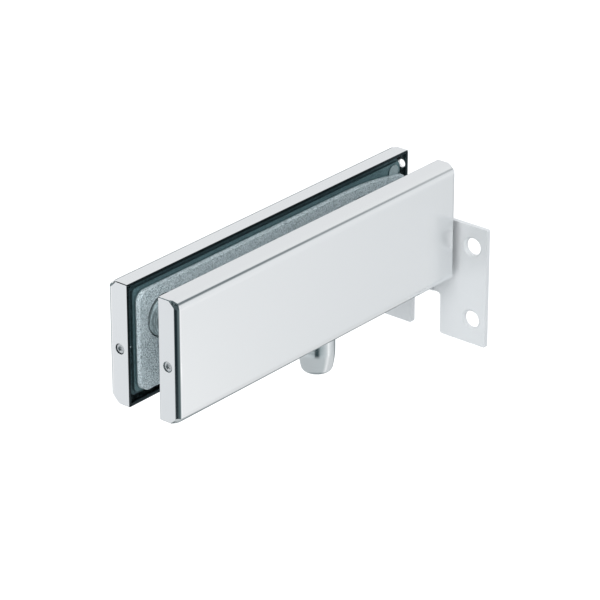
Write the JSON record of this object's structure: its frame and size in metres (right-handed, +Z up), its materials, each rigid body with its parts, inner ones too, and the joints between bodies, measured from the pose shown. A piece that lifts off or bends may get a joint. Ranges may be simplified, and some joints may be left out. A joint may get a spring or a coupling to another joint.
{
  "type": "glass patch fitting",
  "caption": "Long narrow clamp for a frameless glass panel: folded metal covers over cast halves, a pivot pin below and a bracket plate with countersunk holes at one end.",
  "frame": {"origin": "on the pivot pin axis, in the plane of the covers' lower faces", "axes": "+X along the fitting towards the bracket plate, +Y across the glass from the front half to the rear half, +Z up"},
  "size_m": [0.1786, 0.0622, 0.0806],
  "materials": {
    "cover_steel": "polished folded stainless sheet",
    "cast_aluminium": "as-cast aluminium, matt and slightly grainy",
    "fibre_gasket": "pressed grey fibre gasket, speckled",
    "pin_steel": "turned and ground steel",
    "block_steel": "milled steel",
    "screw_steel": "stainless steel screws",
    "bracket_steel": "satin light grey metal"
  },
  "bodies": {
    "rear_half": {"rear_cover": "cover_steel", "rear_clamp_body": "cast_aluminium", "rear_gasket": "fibre_gasket", "pivot_block": "block_steel", "pivot_pin": "pin_steel", "pin_set_screw": "screw_steel", "block_screw_left": "screw_steel", "block_screw_right": "screw_steel", "threaded_insert_left": "screw_steel", "threaded_insert_right": "screw_steel", "rear_cover_screw_left": "screw_steel", "rear_cover_screw_right": "screw_steel", "end_bracket": "bracket_steel", "bracket_screw_lower": "screw_steel", "bracket_screw_upper": "screw_steel"},
    "front_half": {"front_cover": "cover_steel", "front_clamp_body": "cast_aluminium", "front_gasket": "fibre_gasket", "clamp_bolt_left": "screw_steel", "clamp_bolt_right": "screw_steel", "clamp_washer_left": "screw_steel", "clamp_washer_right": "screw_steel", "front_cover_screw_left": "screw_steel", "front_cover_screw_right": "screw_steel"}
  },
  "joints": [
    {"name": "clamping_travel", "type": "slide", "parent": "rear_half", "child": "front_half", "axis": [0, 1, 0], "range_m": [-0.002, 0.0036]}
  ]
}
